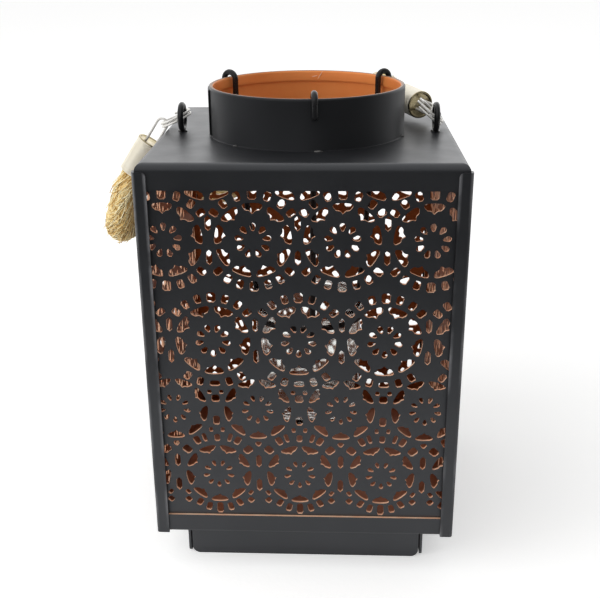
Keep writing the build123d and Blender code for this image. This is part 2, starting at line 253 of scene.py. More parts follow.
# lighter tin for the strips' edges: partly rubbed paint, partly a painted highlight where the rounded edge
# catches light
rubbedAndLitTin = {
    "tones": [(0.075, 0.075, 0.08, 1), (0.17, 0.17, 0.178, 1)],
    "toneScale": 120, "roughness": (0.4, 0.55), "metallic": 0.0, "peel": 0.1, "dents": 0.0,
}
roughPerTone = 3


def paintSockets(tree, vector, finish):
    color = useGroup(tree, twoTone, vector, {
        "Scale": finish["toneScale"], "First": finish["tones"][0], "Second": finish["tones"][1]})
    rough = useGroup(tree, mottle, vector, {
        "Scale": finish["toneScale"] * roughPerTone,
        "Low": finish["roughness"][0], "High": finish["roughness"][1]})
    normal = useGroup(tree, sprayPeel, vector, {"Strength": finish["peel"], "Dents": finish["dents"]})
    return color, rough, normal


def paintMaterial(name, finish):
    material, tree, shader, vector = newMaterial(name)
    color, rough, normal = paintSockets(tree, vector, finish)
    feed(tree, shader, {
        "Base Color": color, "Roughness": rough, "Normal": normal, "Metallic": finish["metallic"],
        "Specular IOR Level": finish["specular"], "Specular Tint": finish.get("sheen", (1, 1, 1, 1))})
    return material


# Black tin that another finish takes over where a mask says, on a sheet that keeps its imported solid
def layeredMaterial(name, layers):
    material, tree, shader, vector = newMaterial(name)
    base = finishes["blackTin"]
    color, rough, normal = paintSockets(tree, vector, base)
    metal = base["metallic"]
    for layer, group, values in layers:
        layerColor, layerRough, _ = paintSockets(tree, vector, layer)
        mask = useGroup(tree, group, vector, values)
        color = mixNode(tree, "RGBA", mask, color, layerColor)
        rough = mixNode(tree, "FLOAT", mask, rough, layerRough)
        metal = mixNode(tree, "FLOAT", mask, metal, layer["metallic"])
    feed(tree, shader, {
        "Base Color": color, "Roughness": rough, "Metallic": metal, "Normal": normal,
        "Specular IOR Level": base["specular"], "Specular Tint": base["sheen"]})
    return material


paints = {name: paintMaterial(name, finish) for name, finish in finishes.items()}
# the copper inside the cap and the pan is the darkened copy, painted shade
capFinish = layeredMaterial("capFinish", [
    (finishes["copperPaintInShade"], insideMask, {"Half": 0.0727, "Low": 0.19, "High": 0.2119})])
# above 32 mm the top edge of the pan's flange takes the lightened cut-edge copper, a painted highlight
panFinish = layeredMaterial("panFinish", [
    (finishes["copperPaintInShade"], insideMask, {"Half": 0.0727, "Low": 0.0230, "High": 0.2}),
    (finishes["litCutEdge"], insideMask, {"Half": 0.2, "Low": 0.03199, "High": 0.2})])
# the strips' edges take the lighter tin, painted highlight and rubbed paint
stripFinish = layeredMaterial("stripFinish", [
    (rubbedAndLitTin, edgeWearAndHighlight, {"Edge": 0.0689, "Corner": 0.0746, "Width": 0.0013, "Scale": 38})])

# Clear glass with a breath of green, whose waves run upright as in drawn glass
glass = {
    "color": (0.96, 0.975, 0.96, 1), "refraction": 1.47, "drawnOut": (1, 1, 0.06),
    "waves": {"Scale": 260, "Strength": 0.22, "Dents": 0.03},
    "smears": {"Scale": 50, "Low": 0.04, "High": 0.09},
}
cupGlass, tree, shader, vector = newMaterial("cupGlass")
drawn = addNode(tree, "Mapping", {"Vector": vector, "Scale": glass["drawnOut"]}).outputs["Vector"]
feed(tree, shader, {
    "Base Color": glass["color"], "Transmission Weight": 1.0, "IOR": glass["refraction"],
    "Normal": useGroup(tree, sprayPeel, drawn, glass["waves"]),
    "Roughness": useGroup(tree, mottle, vector, glass["smears"])})

# Jute: pale straw streaked with brown; each loose fibre has a shade of its own
juteLooks = {
    "juteStrand": {
        "tones": [(0.50, 0.31, 0.10, 1), (0.88, 0.64, 0.27, 1), (0.98, 0.82, 0.46, 1)],
        "grain": 420, "grainShare": 1.0, "stops": (0.34, 0.5, 0.66),
    },
    "juteFibre": {
        "tones": [(0.44, 0.24, 0.06, 1), (1.0, 0.76, 0.33, 1), (1.0, 0.93, 0.64, 1)],
        "grain": 260, "grainShare": 0.3, "stops": (0.16, 0.42, 0.8),
    },
}
juteSurface = {
    "Roughness": 0.8, "Specular IOR Level": 0.25,
    "Sheen Weight": 0.35, "Sheen Roughness": 0.5, "Sheen Tint": (1.0, 0.84, 0.56, 1),
}
juteFuzz = {"Strength": 0.5, "Distance": 0.0005}


def juteMaterial(name):
    look = juteLooks[name]
    material, tree, shader, vector = newMaterial(name)
    grain = addNode(tree, "TexNoise", {"Vector": vector, "Scale": look["grain"], "Detail": 4}).outputs["Fac"]
    shade = addNode(tree, "Attribute", attribute_name="shade").outputs["Fac"]
    grainPart = mathNode(tree, "MULTIPLY", grain, look["grainShare"])
    shadePart = mathNode(tree, "MULTIPLY", shade, 1 - look["grainShare"])
    streaks = addNode(tree, "ValToRGB", {"Fac": mathNode(tree, "ADD", grainPart, shadePart)})
    streaks.color_ramp.elements.new(0.5)
    for stop, place, tone in zip(streaks.color_ramp.elements, look["stops"], look["tones"]):
        stop.position = place
        stop.color = tone
    fuzz = addNode(tree, "Bump", {"Height": grain, **juteFuzz})
    feed(tree, shader, {
        "Base Color": streaks.outputs["Color"], "Normal": fuzz.outputs["Normal"], **juteSurface})
    return material


juteStrand = juteMaterial("juteStrand")
juteFibre = juteMaterial("juteFibre")
print("materials made:", len(bpy.data.materials))


# Making pieces

def finishPiece(name, mesh, materials, body, nodes=(), sharp=35):
    piece = bpy.data.objects.new(name, mesh)
    bpy.context.scene.collection.objects.link(piece)
    for material in materials:
        mesh.materials.append(material)
    mesh.shade_smooth()
    mesh.set_sharp_from_angle(angle=math.radians(sharp))
    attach(piece, body)
    if nodes:
        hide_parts(*nodes)
    return piece


def meshFrom(bm, name, pick=None):
    bmesh.ops.remove_doubles(bm, verts=bm.verts, dist=1e-6)
    bmesh.ops.recalc_face_normals(bm, faces=bm.faces)
    if pick:
        for face in bm.faces:
            face.material_index = pick(face)
    mesh = bpy.data.meshes.new(name)
    bm.to_mesh(mesh)
    bm.free()
    return mesh


def newCurve(name, dimensions="3D", wire=0.0, roundness=0):
    curve = bpy.data.curves.new(name, "CURVE")
    curve.dimensions = dimensions
    curve.bevel_depth = wire / 2
    curve.bevel_resolution = roundness
    return curve


def addSpline(curve, kind, places):
    spline = curve.splines.new(kind)
    spline.points.add(len(places) - 1)
    for point, place in zip(spline.points, places):
        point.co = (*place, 1)
    return spline


def meshOfCurve(curve):
    holder = bpy.data.objects.new(curve.name, curve)
    bpy.context.scene.collection.objects.link(holder)
    bpy.context.view_layer.update()
    shaped = holder.evaluated_get(bpy.context.evaluated_depsgraph_get())
    mesh = bpy.data.meshes.new_from_object(shaped)
    bpy.data.objects.remove(holder)
    return mesh


def frameMatrix(origin, xAxis, zAxis):
    zAxis = Vector(zAxis).normalized()
    xAxis = (Vector(xAxis) - zAxis * Vector(xAxis).dot(zAxis)).normalized()
    yAxis = zAxis.cross(xAxis)
    turn = Matrix((xAxis, yAxis, zAxis)).transposed().to_4x4()
    return Matrix.Translation(Vector(origin)) @ turn


def edgesOf(parts):
    return [part for part in parts if isinstance(part, bmesh.types.BMEdge)]


def rotateVerts(bm, verts, degrees, axis):
    turn = Matrix.Rotation(math.radians(degrees), 3, axis)
    bmesh.ops.rotate(bm, verts=verts, cent=(0, 0, 0), matrix=turn)


# A profile of (radius, height) points turned about Z
def turnProfile(bm, profile, steps, closed=False):
    ring = [bm.verts.new((r * mm, 0, z * mm)) for r, z in profile]
    pairs = list(zip(ring, ring[1:])) + ([(ring[-1], ring[0])] if closed else [])
    edges = [bm.edges.new(pair) for pair in pairs]
    bmesh.ops.spin(
        bm, geom=ring + edges, cent=(0, 0, 0), axis=(0, 0, 1), angle=math.tau, steps=steps, use_merge=True)


# A closed ring of round wire about Z
def turnWire(bm, radius, wire, steps, sides=16):
    turn = math.tau / sides
    section = [
        (radius + wire / 2 * math.cos(turn * k), wire / 2 * math.sin(turn * k)) for k in range(sides)]
    turnProfile(bm, section, steps, closed=True)


# A round wire led along runs and bends, as on a bending jig
def bendWire(bm, wire, startPoint, heading, moves, sides=12):
    heading = Vector(heading).normalized()
    place = Vector(startPoint)
    facing = heading.to_track_quat("Z", "Y").to_matrix().to_4x4()
    verts = bmesh.ops.create_circle(bm, segments=sides, radius=wire / 2, matrix=facing)["verts"]
    bmesh.ops.translate(bm, verts=verts, vec=place)
    ring = list({e for v in verts for e in v.link_edges})
    firstRing = list(ring)
    for move in moves:
        if move[0] == "run":
            grown = bmesh.ops.extrude_edge_only(bm, edges=ring)["geom"]
            verts = [g for g in grown if isinstance(g, bmesh.types.BMVert)]
            bmesh.ops.translate(bm, verts=verts, vec=heading * move[1])
            place = place + heading * move[1]
            if len(move) > 2:  # a run that thins out, for a pinched end
                centring = Matrix.Translation(-place)
                bmesh.ops.scale(bm, vec=(move[2],) * 3, space=centring, verts=verts)
            ring = [edge for edge in edgesOf(grown) if all(v in verts for v in edge.verts)]
        else:
            _, radius, angle, axis, steps = move
            axis = Vector(axis).normalized()
            if angle < 0:
                axis, angle = -axis, -angle
            centre = place + axis.cross(heading) * radius
            verts = list({v for e in ring for v in e.verts})
            turned = bmesh.ops.spin(
                bm, geom=verts + ring, cent=centre, axis=axis, angle=angle, steps=steps)["geom_last"]
            ring = edgesOf(turned)
            spinTurn = Matrix.Rotation(angle, 3, axis)
            place = centre + spinTurn @ (place - centre)
            heading = spinTurn @ heading
    bmesh.ops.contextual_create(bm, geom=firstRing)
    bmesh.ops.contextual_create(bm, geom=ring)


# A lump of weld or a crease, set at an angle round Z; its surface and its length may be drawn at random
def addLump(bm, size, radius, height, angle, rough=None, slant=0.0):
    made = bmesh.ops.create_icosphere(bm, subdivisions=2, radius=1.0)["verts"]
    if rough:
        for vert in made:
            vert.co *= random.uniform(*rough)
    depth, length, rise = size
    if isinstance(length, tuple):
        length = random.uniform(*length)
    bmesh.ops.scale(bm, vec=(depth * mm, length * mm, rise * mm), verts=made)
    rotateVerts(bm, made, -slant, "X")
    bmesh.ops.translate(bm, vec=(radius * mm, 0, height * mm), verts=made)
    rotateVerts(bm, made, angle, "Z")


# Rope: a NURBS line through the route, three twisted strands and stray fibres
rope = {
    "route": [
        (-90.63, 6.2, 192.09), (-96.9, 6.2, 181.6), (-100.6, 7.6, 169.2), (-105.0, 16.0, 156.4),
        (-105.4, 35.6, 149.4), (-100.0, 76.0, 147.8), (-83.0, 94.2, 150.4), (-52.0, 98.6, 156.4),
        (-11.0, 97.4, 175.2), (15.4, 95.4, 199.8), (32.4, 86.4, 219.6), (40.4, 72.0, 226.2),
        (45.95, 51.36, 224.56), (52.04, 37.7, 223.5),
    ],
    "resolution": 16,
    "diameter": 13.0,
    "length": 312.2,
    "strands": 3, "strandShare": 0.72, "strandRoundness": 5,
    "lay": 82.0,
    "pinched": 0.82, "swollen": 1.12, "swellBy": 36.0,
    "fibreCount": 2700, "fibreWidth": 0.42, "fibreSteps": 4, "fibreReach": (4, 16), "tailPoints": 6,
    "strayShare": 0.11, "strayLift": (0.6, 1.9), "closeLift": (-0.2, 0.4),
    "drifts": (0.3, 0.9), "farDriftShare": 0.4, "curl": 0.14, "depths": (0.93, 1.02),
}
routeCurve = newCurve("ropeRoute")
routeSpline = addSpline(routeCurve, "NURBS", [[v * mm for v in place] for place in rope["route"]])
routeSpline.order_u = 3
routeSpline.use_endpoint_u = True
routeSpline.resolution_u = rope["resolution"]
ropeLine = [v.co.copy() for v in meshOfCurve(routeCurve).vertices]

# A frame carried along the line without twisting
ropeFrames = []
sideways = Vector((0, 1, 0))
travelled = 0.0
for index, here in enumerate(ropeLine):
    before = ropeLine[max(index - 1, 0)]
    after = ropeLine[min(index + 1, len(ropeLine) - 1)]
    forward = (after - before).normalized()
    sideways = (sideways - forward * sideways.dot(forward)).normalized()
    travelled += (here - before).length
    ropeFrames.append((here, sideways.copy(), forward.cross(sideways), travelled))
print("rope line", len(ropeLine), "points", round(travelled * 1000, 1), "mm")


# The rope is pinched where a ferrule holds it and swells just after
def swell(distance):
    fromEnd = min(distance, travelled - distance) / mm
    rise = min(fromEnd / rope["swellBy"], 1.0)
    settle = min(max(fromEnd - rope["swellBy"], 0.0) / rope["swellBy"], 1.0)
    return rope["pinched"] + (rope["swollen"] - rope["pinched"]) * rise - (rope["swollen"] - 1.0) * settle


def layTurn(distance):
    return math.tau * distance / (rope["lay"] * mm)


strandWidth = rope["diameter"] * rope["strandShare"] * mm
strandReach = rope["diameter"] / 2 * mm - strandWidth / 2
strandCurve = newCurve("ropeStrands", wire=strandWidth, roundness=rope["strandRoundness"])
strandCurve.use_fill_caps = True
for strand in range(rope["strands"]):
    places = []
    for here, side, lift, distance in ropeFrames:
        angle = math.tau * strand / rope["strands"] + layTurn(distance)
        outward = side * math.cos(angle) + lift * math.sin(angle)
        places.append(here + outward * strandReach * swell(distance))
    spline = addSpline(strandCurve, "POLY", places)
    for point, ropeFrame in zip(spline.points, ropeFrames):
        point.radius = swell(ropeFrame[-1])
ropePiece = finishPiece(
    "rope_strands", meshOfCurve(strandCurve), [juteStrand], "handle", ["rope"], sharp=80)

# Fibres that follow the strands, most of them lying close and some standing off
random.seed(4)
fibreCurve = newCurve("ropeFibres", wire=rope["fibreWidth"] * mm)
for _ in range(rope["fibreCount"]):
    first = random.randrange(len(ropeFrames) - rope["tailPoints"])
    stride = random.randint(*rope["fibreReach"])
    startAngle = random.uniform(0, math.tau)
    lift = random.uniform(*rope["strayLift" if random.random() < rope["strayShare"] else "closeLift"])
    most = rope["drifts"][random.random() < rope["farDriftShare"]]
    drift = random.uniform(-most, most)
    curl = random.uniform(-rope["curl"], rope["curl"])
    depth = random.uniform(*rope["depths"])
    places = []
    for step in range(rope["fibreSteps"] + 1):
        share = step / rope["fibreSteps"]
        spot = min(first + stride * share, len(ropeFrames) - 1.001)
        here, side, rise, distance = ropeFrames[int(spot)]
        onward, ahead = ropeLine[int(spot) + 1], spot - int(spot)
        angle = startAngle + drift * share + curl * (step % 2) + layTurn(distance - ropeFrames[first][-1])
        outward = side * math.cos(angle) + rise * math.sin(angle)
        reach = rope["diameter"] / 2 * depth * swell(distance) + lift * share * share
        places.append(here.lerp(onward, ahead) + outward * reach * mm)
    addSpline(fibreCurve, "POLY", places)
fibreMesh = meshOfCurve(fibreCurve)
fibreShades = [random.random() for _ in range(rope["fibreCount"])]
vertsEach = len(fibreMesh.vertices) // rope["fibreCount"]
vertShades = [fibreShades[k // vertsEach] for k in range(len(fibreMesh.vertices))]
fibreMesh.attributes.new("shade", "FLOAT", "POINT").data.foreach_set("value", vertShades)
fibrePiece = finishPiece("rope_fibres", fibreMesh, [juteFibre], "handle", sharp=80)
print("rope made with", rope["fibreCount"], "fibres of", vertsEach, "points")

# Handle fittings: split rings, ferrules and their wire loops
eyelet = {
    "left": -63.4, "right": 65.0, "height": 220.2, "radius": 6.0, "wire": 3.0, "steps": 48, "cutHeight": 212.9,
    "weld": {"size": (2.5, 3.6, 1.0), "height": 213.0, "lumps": 0.16, "waves": (5, 3), "least": 0.4, "seed": 7},
}
splitRing = {"radius": 8.0, "wire": 1.2, "sides": 10, "pitch": 1.65, "turns": 2, "stepsPerTurn": 40}
handleEnds = {
    "left": {
        "side": -1, "tilt": 22.0, "reach": 4.7, "back": 6.2, "drop": 0.0, "start": 80.0, "standOff": 11.0,
    },
    "right": {
        "side": 1, "tilt": 41.0, "reach": -3.2, "back": 6.0, "drop": 0.6, "start": 215.0, "standOff": 9.0,
    },
}
ferruleLeans = {"left": 33.5, "rightTurn": 24.0, "rightRise": 4.0}
lean, aside, upward = [math.radians(angle) for angle in ferruleLeans.values()]
ferruleAxes = {
    "left": Vector((-math.sin(lean), 0, -math.cos(lean))),
    "right": Vector((
        -math.sin(aside) * math.cos(upward), math.cos(aside) * math.cos(upward), math.sin(upward))),
}
ferrule = {
    "profile": [
        (0, 0.75), (2.0, 0.7), (5.4, 0.6), (5.9, 0.4), (6.2, 0.1), (6.6, 0.0), (6.95, 0.12), (7.15, 0.5),
        (7.2, 1.2), (7.14, 2.0), (7.06, 2.5), (7.14, 3.0), (7.2, 3.8), (7.2, 17.2), (7.1, 17.8), (7.2, 18.4),
        (7.2, 19.6), (7.05, 19.9), (6.85, 20.0), (6.62, 19.7), (6.55, 14.0), (0, 14.0),
    ],
    "steps": 48,
    "loopWire": 1.4, "loopHalf": 2.8, "loopSunk": 1.2, "loopSteps": 18,
    "faceReach": 7.3, "faceDepth": 0.72,
}


def ferruleSide(face):
    spot = face.calc_center_median()
    onFace = math.hypot(spot.x, spot.y) < ferrule["faceReach"] * mm and spot.z < ferrule["faceDepth"] * mm
    return 1 if onFace else 0


cordPieces = [fibrePiece]
for hand, end in handleEnds.items():
    tilt = math.radians(end["tilt"])
    droop = Vector((end["side"] * math.cos(tilt), 0, -math.sin(tilt)))
    hook = Vector((eyelet[hand], end["back"], eyelet["height"] - end["drop"])) + droop * end["reach"]
    plane = frameMatrix(hook * mm, droop, droop.cross(Vector((0, 1, 0))))

    # the split ring is a wire section wound round twice, rising as it goes
    bm = bmesh.new()
    stepCount = splitRing["turns"] * splitRing["stepsPerTurn"]
    rise = splitRing["turns"] * splitRing["pitch"] * mm
    section = Matrix.Translation((splitRing["radius"] * mm, 0, 0)) @ Matrix.Rotation(math.pi / 2, 4, "X")
    wireRing = bmesh.ops.create_circle(
        bm, segments=splitRing["sides"], radius=splitRing["wire"] / 2 * mm, matrix=section)["verts"]
    ringEdges = list({e for v in wireRing for e in v.link_edges})
    wound = bmesh.ops.spin(
        bm, geom=wireRing + ringEdges, cent=(0, 0, 0), axis=(0, 0, 1), dvec=(0, 0, rise / stepCount),
        angle=math.tau * splitRing["turns"], steps=stepCount)["geom_last"]
    bmesh.ops.contextual_create(bm, geom=ringEdges)
    bmesh.ops.contextual_create(bm, geom=edgesOf(wound))
    startTurn = Matrix.Rotation(math.radians(end["start"]), 4, "Z")
    bm.transform(plane @ Matrix.Translation((0, 0, -rise / 2)) @ startTurn)
    ringPiece = finishPiece(
        hand + "_split_ring_wire", meshFrom(bm, hand + "SplitRing"), [paints["ringSteel"]], "handle",
        [hand + "_split_ring"], sharp=60)

    # the ferrule is turned, with rolled rims and a dished face
    axis = ferruleAxes[hand]
    ringX, ringY = plane.col[0].xyz, plane.col[1].xyz
    eye = plane.translation + (ringX if hand == "left" else ringY) * splitRing["radius"] * mm
    ringRun = ringY if hand == "left" else ringX
    face = eye + axis * end["standOff"] * mm
    bm = bmesh.new()
    turnProfile(bm, ferrule["profile"], ferrule["steps"])
    ferruleMesh = meshFrom(bm, hand + "Ferrule", ferruleSide)
    ferruleMesh.transform(frameMatrix(face, ringRun, axis))
    ferrulePiece = finishPiece(
        hand + "_ferrule_cap", ferruleMesh, [paints["nickelCap"], paints["capFace"]], "handle",
        [hand + "_ferrule"], sharp=50)

    # its loop is one wire bent round the split ring
    squareOn = (ringRun - axis * ringRun.dot(axis)).normalized()
    across = squareOn.cross(-axis)
    half = ferrule["loopHalf"] * mm
    sunk = ferrule["loopSunk"] * mm
    straight = ("run", end["standOff"] * mm + sunk)
    bm = bmesh.new()
    bendWire(bm, ferrule["loopWire"] * mm, face - across * half + axis * sunk, -axis, [
        straight, ("bend", half, math.pi, squareOn, ferrule["loopSteps"]), straight])
    loopPiece = finishPiece(
        hand + "_ferrule_loop", meshFrom(bm, hand + "Loop"), [paints["ringSteel"]], "handle",
        [hand + "_ferrule_eye"], sharp=60)
    cordPieces += [ringPiece, ferrulePiece, loopPiece]
print("handle fittings made:", len(cordPieces))

# Eyelets welded to the plate
weld = eyelet["weld"]
for hand, end in handleEnds.items():
    name = hand + "_eyelet"
    bm = bmesh.new()
    turnWire(bm, eyelet["radius"], eyelet["wire"], eyelet["steps"])
    bm.transform(frameMatrix((eyelet[hand] * mm, 0, eyelet["height"] * mm), (0, 1, 0), (1, 0, 0)))
    cut = bm.verts[:] + bm.edges[:] + bm.faces[:]
    plateLevel = (0, 0, eyelet["cutHeight"] * mm)
    bmesh.ops.bisect_plane(bm, geom=cut, plane_co=plateLevel, plane_no=(0, 0, 1), clear_inner=True)
    bmesh.ops.holes_fill(bm, edges=[e for e in bm.edges if e.is_boundary], sides=0)
    finishPiece(
        name + "_wire", meshFrom(bm, name), [paints["blackWire"]], "lantern", [name], sharp=60)

    # the weld that holds it, a low lumpy mound
    bm = bmesh.new()
    bmesh.ops.create_icosphere(bm, subdivisions=3, radius=1.0)
    random.seed(weld["seed"] + end["side"])
    for vert in bm.verts:
        swing = math.sin(weld["waves"][0] * vert.co.x + weld["waves"][1] * vert.co.y + end["side"])
        vert.co *= 1 + weld["lumps"] * swing * random.uniform(weld["least"], 1)
    bmesh.ops.scale(bm, vec=Vector(weld["size"]) * mm, verts=bm.verts)
    bmesh.ops.translate(bm, vec=(eyelet[hand] * mm, 0, weld["height"] * mm), verts=bm.verts)
    finishPiece(
        name + "_weld", meshFrom(bm, name + "Weld"), [paints["blackWire"]], "lantern",
        sharp=80)
print("eyelets made")

# Collar: rolled rim, turned-in hem and a small foot where it is tacked to the plate
collar = {
    "profile": [
        (47.75, 212.2), (47.8, 231.1), (47.75, 231.6), (47.55, 231.75), (47.35, 231.55), (47.1, 231.3),
        (46.85, 231.35), (46.65, 231.7), (46.6, 232.2), (46.6, 235.8), (46.7, 236.3), (47.0, 236.75),
        (47.4, 236.95), (47.8, 237.0), (48.2, 236.95), (48.6, 236.75), (48.9, 236.3), (49.0, 235.8),
        (49.0, 213.5), (49.08, 213.3), (49.3, 213.2), (49.4, 213.1), (49.4, 212.9), (49.0, 212.8),
    ],
    "steps": 128,
    "copperWithin": 48.25, "rimAbove": 236.6,
    "seam": {
        "low": 213.7, "high": 235.7, "inside": 48.9, "outside": 49.35, "from": 174.0, "to": 197.0, "steps": 24,
        "lip": 0.4, "lipSteps": 3, "lipStep": 0.9, "lipEdge": 0.1,
    },
    "tacks": {
        "angles": [-131.3, -82.0, -16.3, 62.0, 128.0], "radius": 49.5, "height": 213.2,
        "size": (0.8, (1.2, 2.2), 0.55), "rough": (0.8, 1.15), "seed": 20,
    },
    "creases": {
        "places": [(83.0, 234.4, 5.2, 58.0), (86.6, 233.9, 3.4, 12.0)],
        "width": 0.5, "depth": 0.4, "radius": 46.62,
    },
}


# faces inside copperWithin are the copper inside; those on the rim's top take the painted highlight
def collarSide(face):
    middle = face.calc_center_median()
    if math.hypot(middle.x, middle.y) > collar["copperWithin"] * mm:
        return 0
    return 2 if middle.z > collar["rimAbove"] * mm else 1


bm = bmesh.new()
turnProfile(bm, collar["profile"], collar["steps"], closed=True)
finishPiece(
    "collar_band", meshFrom(bm, "collarBand", collarSide),
    [paints["collarTin"], paints["collarCopper"], paints["rimHighlight"]], "lantern", ["collar"],
    sharp=40)

# the lapped end of the collar's strip, lifted a little at its edge
seam = collar["seam"]
bm = bmesh.new()
corners = [
    bm.verts.new((r * mm, 0, z * mm))
    for r, z in (
        (seam["inside"], seam["low"]), (seam["outside"], seam["low"]),
        (seam["outside"], seam["high"]), (seam["inside"], seam["high"]))]
edges = [bm.edges.new((corners[k], corners[(k + 1) % 4])) for k in range(4)]
rotateVerts(bm, corners, seam["from"], "Z")
lapEnd = bmesh.ops.spin(
    bm, geom=corners + edges, cent=(0, 0, 0), axis=(0, 0, 1),
    angle=math.radians(seam["to"] - seam["from"]), steps=seam["steps"])["geom_last"]
bmesh.ops.contextual_create(bm, geom=edges)
bmesh.ops.contextual_create(bm, geom=edgesOf(lapEnd))
lifted = 1 + seam["lip"] / seam["outside"] / seam["lipSteps"]
for share in range(seam["lipSteps"], 0, -1):
    edgeAngle = math.radians(seam["to"] - share * seam["lipStep"] - seam["lipEdge"])
    lip = [v for v in bm.verts if math.atan2(v.co.y, v.co.x) % math.tau > edgeAngle]
    bmesh.ops.scale(bm, vec=(lifted, lifted, 1), verts=lip)
finishPiece(
    "collar_lap", meshFrom(bm, "collarLap"), [paints["collarTin"]], "lantern", sharp=30)

# tack welds round the foot of the collar
tacks = collar["tacks"]
bm = bmesh.new()
for number, angle in enumerate(tacks["angles"]):
    random.seed(tacks["seed"] + number)
    addLump(bm, tacks["size"], tacks["radius"], tacks["height"], angle, tacks["rough"])
finishPiece(
    "collar_tacks", meshFrom(bm, "collarTacks"), [paints["weldMetal"]], "lantern", sharp=80)

# creases where the hem was closed, at the back, coloured with the lightened cut-edge copper as a painted
# highlight
creases = collar["creases"]
bm = bmesh.new()
for angle, height, length, slant in creases["places"]:
    size = (creases["depth"], length / 2, creases["width"] / 2)
    addLump(bm, size, creases["radius"], height, angle, slant=slant)
finishPiece(
    "collar_creases", meshFrom(bm, "collarCreases"), [paints["litCutEdge"]], "lantern", sharp=80)
print("collar made")

# Hanger: ring and three hooks of bent wire
hanger = {
    "wire": 3.0, "sides": 16, "ringRadius": 31.2, "ringHeight": 116.7, "ringSteps": 72,
    "footRadius": 34.3, "footLow": 112.7, "footHigh": 120.7, "legRadius": 44.3, "legLow": 223.0,
    "easyBend": 6.0, "easySteps": 4,
    "crookHeight": 235.7, "crook": 3.5, "crookSteps": 24, "tipHeight": 227.7, "tip": [(1.0, 0.86), (0.6, 0.6)],
    "angles": {"hook_front": 276.0, "hook_back_right": 34.5, "hook_back_left": 149.5},
    "weld": {"size": (1.2, 1.5, 1.9), "drop": 0.6, "rough": (0.88, 1.1), "seed": 40},
}
bm = bmesh.new()
turnWire(bm, hanger["ringRadius"], hanger["wire"], hanger["ringSteps"])
bmesh.ops.translate(bm, vec=(0, 0, hanger["ringHeight"] * mm), verts=bm.verts)
finishPiece(
    "hanger_ring_wire", meshFrom(bm, "hangerRing"), [paints["blackWire"]], "hanger", ["hanger_ring"],
    sharp=60)

# a leg leans outwards between two easy bends, which take a little from the straight runs beside them
spread = hanger["legRadius"] - hanger["footRadius"]
climb = hanger["legLow"] - hanger["footHigh"]
slope = math.atan2(spread, climb)
easy = hanger["easyBend"]
slopeRun = (spread - 2 * easy * (1 - math.cos(slope))) / math.sin(slope)
extra = (slopeRun * math.cos(slope) + 2 * easy * math.sin(slope) - climb) / 2
tipLength = sum(length for length, _ in hanger["tip"])
hookMoves = [
    ("run", (hanger["footHigh"] - hanger["footLow"] - extra) * mm),
    ("bend", easy * mm, slope, (0, 1, 0), hanger["easySteps"]),
    ("run", slopeRun * mm),
    ("bend", easy * mm, -slope, (0, 1, 0), hanger["easySteps"]),
    ("run", (hanger["crookHeight"] - hanger["legLow"] - extra) * mm),
    ("bend", hanger["crook"] * mm, math.pi, (0, 1, 0), hanger["crookSteps"]),
    ("run", (hanger["crookHeight"] - hanger["tipHeight"] - tipLength) * mm),
    *[("run", length * mm, share) for length, share in hanger["tip"]],
]
hookStart = (hanger["footRadius"] * mm, 0, hanger["footLow"] * mm)
for name, angle in hanger["angles"].items():
    bm = bmesh.new()
    bendWire(bm, hanger["wire"] * mm, hookStart, (0, 0, 1), hookMoves, hanger["sides"])
    rotateVerts(bm, bm.verts, angle, "Z")
    finishPiece(
        name + "_wire", meshFrom(bm, name), [paints["blackWire"]], "hanger", [name], sharp=50)

# welds that join the hooks' feet to the ring
weld = hanger["weld"]
weldRadius = (hanger["ringRadius"] + hanger["footRadius"]) / 2
bm = bmesh.new()
for number, angle in enumerate(hanger["angles"].values()):
    random.seed(weld["seed"] + number)
    addLump(bm, weld["size"], weldRadius, hanger["ringHeight"] - weld["drop"], angle, weld["rough"])
finishPiece(
    "hanger_welds", meshFrom(bm, "hangerWelds"), [paints["blackWire"]], "hanger", sharp=80)
print("hanger made")

# Glass cup with a rounded lip and a thick base
cup = {
    "profile": [
        (0, 59.6), (18.0, 59.3), (23.0, 58.5), (26.0, 58.0), (27.4, 58.3), (28.2, 59.1), (28.5, 60.4),
        (28.5, 117.2), (28.7, 118.0), (29.4, 118.5), (31.6, 118.55), (32.2, 118.9), (32.5, 119.6),
        (32.5, 120.9), (32.2, 121.6), (31.6, 121.95), (27.6, 122.0), (26.8, 121.7), (26.35, 120.9),
        (26.3, 119.8), (26.3, 69.0), (25.8, 67.2), (24.4, 66.0), (21.5, 65.3), (0, 64.9),
    ],
    "steps": 96,
}
bm = bmesh.new()
turnProfile(bm, cup["profile"], cup["steps"])
finishPiece("cup_glass", meshFrom(bm, "cupGlass"), [cupGlass], "cup", ["glass_cup"], sharp=70)
print("cup made")

